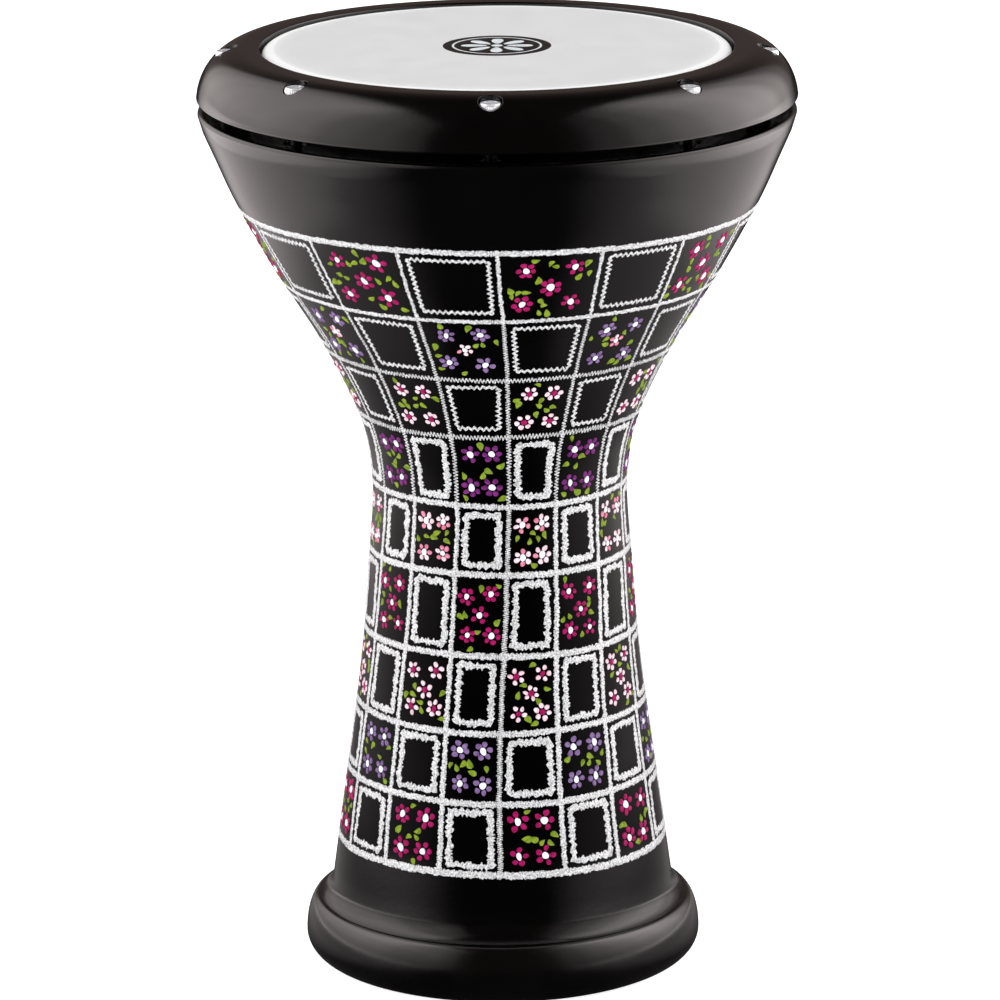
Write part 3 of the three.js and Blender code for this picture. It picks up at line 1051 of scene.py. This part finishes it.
# The banks' radiance at places along Y in metres, and its share from the floor up.
LEFT_BANK = [(-1.8, 0), (-1.3, 0.47), (-0.75, 1.0), (-0.43, 1.5), (-0.2, 2.5), (0, 2.85), (0.2, 2.5),
             (0.43, 2.1), (0.75, 1.55), (1.3, 0.8), (1.8, 0)]
RIGHT_BANK = [(-1.8, 0), (-1.3, 0.04), (-0.75, 0.45), (-0.43, 1.2), (-0.2, 2.1), (0, 3.2), (0.2, 3.7),
              (0.43, 3.0), (0.75, 1.4), (1.3, 0.3), (1.8, 0)]
LEFT_RISE = [(0, 0.35), (0.12, 0.72), (0.22, 1), (0.6, 0.92), (0.8, 0.65), (0.9, 0.3), (1, 0)]
RIGHT_RISE = [(0, 0.35), (0.12, 0.8), (0.22, 1), (0.42, 0.88), (0.6, 0.68), (0.8, 0.4), (0.95, 0)]
FLOOR = -0.0002
FLOOR_REACH = 9
# What the lacquer sees in the floor: its radiance at distances to either side in metres, the least radiance,
# and the share of it by how far a place is to the side of the drum, not in front. That ends in full light
# beside the drum, and starts again at a distance behind it.
FLOOR_LEVELS = [(0, 0.03), (0.1, 0.04), (0.14, 0.33), (0.33, 0.4), (0.4, 0.5), (0.48, 1.1), (0.7, 1.4)]
FLOOR_LEAST = 0.012
SHADE_RANGE = (0.48, 0.98)
SHADE_START = 0.6
# The tints of what the lacquer sees.
FLOOR_TINT = (1.0, 0.91, 0.92, 1)
BANK_TINT = (1.0, 0.92, 0.91, 1)
DARK_TINT = (1.0, 0.75, 0.68, 1)
# The camera: metres, degrees, and its lens in mm.
CAMERA_DISTANCE = 2.988
CAMERA_HEIGHT = 0.9955
CAMERA_TURN = 1.4
CAMERA_PITCH = 14.594
CAMERA_ROLL = 0.4
LENS = 239.5


def make_camera():
    camera = bpy.data.cameras.new("camera")
    camera.lens = LENS
    camera.sensor_width = 36
    camera.clip_end = 50
    shot = bpy.data.objects.new("camera", camera)
    bpy.context.scene.collection.objects.link(shot)
    turn = Matrix.Rotation(math.radians(CAMERA_TURN), 4, "Z")
    place = turn @ Vector((0, -CAMERA_DISTANCE, CAMERA_HEIGHT))
    look = turn @ Matrix.Rotation(math.radians(90 - CAMERA_PITCH), 4, "X")
    look = look @ Matrix.Rotation(math.radians(-CAMERA_ROLL), 4, "Z")
    shot.matrix_world = Matrix.Translation(place) @ look
    bpy.context.scene.camera = shot


def make_floor():
    """A large pale floor. In the lacquer it is grey to the sides, and dark in front and far behind."""
    corners = [(x * FLOOR_REACH, y * FLOOR_REACH, FLOOR) for x, y in ((-1, -1), (1, -1), (1, 1), (-1, 1))]
    floor = new_object("floor", corners, [(0, 1, 2, 3)])
    nodes = Nodes("floor_paper", Specular_IOR_Level=0.0, Roughness=0.9, Emission_Strength=0.85)
    nodes.shader.inputs["Emission Color"].default_value = (1, 1, 1, 1)
    nodes.colours(nodes.noise(3, 2), [(0.3, (0.88, 0.88, 0.88)), (0.7, (0.9, 0.9, 0.9))])
    tree = nodes.tree
    place = add_node(tree, "SeparateXYZ", nodes.place)
    aside = add_node(tree, "Math", place.outputs["X"], operation="ABSOLUTE").outputs[0]
    behind = add_node(tree, "VectorMath", nodes.place, (0, 0, 0), operation="MAXIMUM").outputs["Vector"]
    nearest = add_node(tree, "VectorMath", behind, (0, SHADE_START, 0), operation="MINIMUM").outputs["Vector"]
    reach = add_node(tree, "VectorMath", nodes.place, nearest, operation="DISTANCE").outputs["Value"]
    beside = add_node(tree, "Math", aside, reach, operation="DIVIDE").outputs[0]
    shade = add_node(tree, "MapRange", beside, *SHADE_RANGE, interpolation_type="SMOOTHSTEP")
    full, share = ramp(tree, aside, FLOOR_LEVELS), shade.outputs["Result"]
    level = add_node(tree, "Math", full, share, FLOOR_LEAST, operation="MULTIPLY_ADD").outputs[0]
    mirrored = add_node(tree, "Emission", FLOOR_TINT, level)
    glossy = add_node(tree, "LightPath").outputs["Is Glossy Ray"]
    mix = add_node(tree, "MixShader", glossy, nodes.shader.outputs["BSDF"], mirrored.outputs["Emission"])
    nodes.link(mix.outputs["Shader"], tree.nodes["Material Output"].inputs["Surface"])
    floor.data.materials.append(nodes.material)


def make_light(name, place, aim, size, power):
    """A soft light for the matt surfaces, which doesn't show in the lacquer."""
    light = bpy.data.lights.new(name, "AREA")
    light.shape = "RECTANGLE"
    light.size, light.size_y = size
    light.energy = power
    lamp = bpy.data.objects.new(name, light)
    bpy.context.scene.collection.objects.link(lamp)
    lamp.location = place
    lamp.rotation_euler = (Vector(aim) - Vector(place)).to_track_quat("-Z", "Y").to_euler()
    lamp.visible_glossy = False
    return lamp


def make_bank(name, side, levels, rise):
    """A wide upright bank of light beside the drum, which shows in the lacquer and the screws only.
    Its levels run from its front end to its back end, as radiances."""
    bank = bpy.data.lights.new(name, "AREA")
    bank.shape = "RECTANGLE"
    bank.size, bank.size_y = BANK_LENGTH, BANK_HEIGHT
    bank.energy = math.pi * BANK_LENGTH * BANK_HEIGHT
    bank.use_nodes = True
    tree = bank.node_tree
    inside = add_node(tree, "SeparateXYZ", add_node(tree, "NewGeometry").outputs["Parametric"])
    peak = max(level for _, level in levels)
    spread = [((1 + at * side / BANK_REACH) / 2, level / peak) for at, level in levels]
    across = ramp(tree, inside.outputs["X"], sorted(spread), "EASE")
    upward = ramp(tree, inside.outputs["Y"], rise, "EASE")
    product = add_node(tree, "Math", across, upward, operation="MULTIPLY").outputs[0]
    scaled = add_node(tree, "Math", product, peak, operation="MULTIPLY").outputs[0]
    emission = tree.nodes["Emission"]
    emission.inputs["Color"].default_value = BANK_TINT
    tree.links.new(scaled, emission.inputs["Strength"])
    lamp = bpy.data.objects.new(name, bank)
    bpy.context.scene.collection.objects.link(lamp)
    turn = Matrix(((0, 0, side), (side, 0, 0), (0, 1, 0))).to_4x4()
    lamp.matrix_world = Matrix.Translation((side * BANK_DISTANCE, 0, BANK_HEIGHT / 2)) @ turn
    lamp.visible_diffuse = False
    lamp.visible_camera = False
    return lamp


def make_world():
    """Soft white light from all round. In the lacquer the rest of the studio is nearly black."""
    world = bpy.data.worlds.new("studio")
    bpy.context.scene.world = world
    world.use_nodes = True
    tree = world.node_tree
    direction = add_node(tree, "SeparateXYZ", add_node(tree, "TexCoord").outputs["Generated"])
    behind = add_node(tree, "MapRange", direction.outputs["Y"], 0.55, 0.95, 0.03, 0.12)
    dark = tree.nodes["Background"]
    dark.inputs["Color"].default_value = DARK_TINT
    tree.links.new(behind.outputs["Result"], dark.inputs["Strength"])
    soft = add_node(tree, "Background", (1, 1, 1, 1), 0.5)
    glossy = add_node(tree, "LightPath").outputs["Is Glossy Ray"]
    mix = add_node(tree, "MixShader", glossy, soft.outputs[0], dark.outputs[0])
    tree.links.new(mix.outputs[0], tree.nodes["World Output"].inputs["Surface"])


def make_studio():
    make_camera()
    make_floor()
    make_world()
    middle = (0, 0, 0.25)
    make_light("left_fill", (-1.8, -1.0, 0.8), middle, (1.6, 1.8), 27)
    make_light("right_fill", (1.8, -1.0, 0.8), middle, (1.6, 1.8), 27)
    make_light("top_fill", (0, 0.3, 2.2), middle, (2.0, 2.0), 17)
    make_bank("left_bank", -1, LEFT_BANK, LEFT_RISE)
    make_bank("right_bank", 1, RIGHT_BANK, RIGHT_RISE)
    bpy.context.scene.view_settings.view_transform = "Standard"


# ---------------------------------------------------------------- the whole drum

make_studio()
make_shell()
make_foot_ring()
make_film()
rim_paint = make_tension_ring()
make_pocket_lips(rim_paint)
bright_plate = metal("screw_bright_plate", (0.74, 0.75, 0.77), (0.92, 0.93, 0.95), 0.12, 0.24, metallic=0.55)
# The thread's near-black colour is painted shade: the thread shows only in the shaded gap under the ring.
shaded_thread = metal("screw_thread_painted_shade", (0.05, 0.05, 0.052), (0.11, 0.11, 0.115), 0.25, 0.4)
for screw_number in range(1, SCREWS + 1):
    make_screw(screw_number, bright_plate, shaded_thread)
make_print()
paint_band()

hoop_metal = metal("hoop_aluminium", (0.5, 0.5, 0.51), (0.64, 0.64, 0.65), 0.3, 0.45)
steel = metal("plain_steel", (0.4, 0.4, 0.41), (0.56, 0.56, 0.57), 0.25, 0.4)
for node_name, node_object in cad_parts.items():
    if node_name == "head_hoop":
        node_object.material_slots[0].material = hoop_metal
    elif node_name.startswith(("screw_washer", "thread_insert")):
        node_object.material_slots[0].material = steel
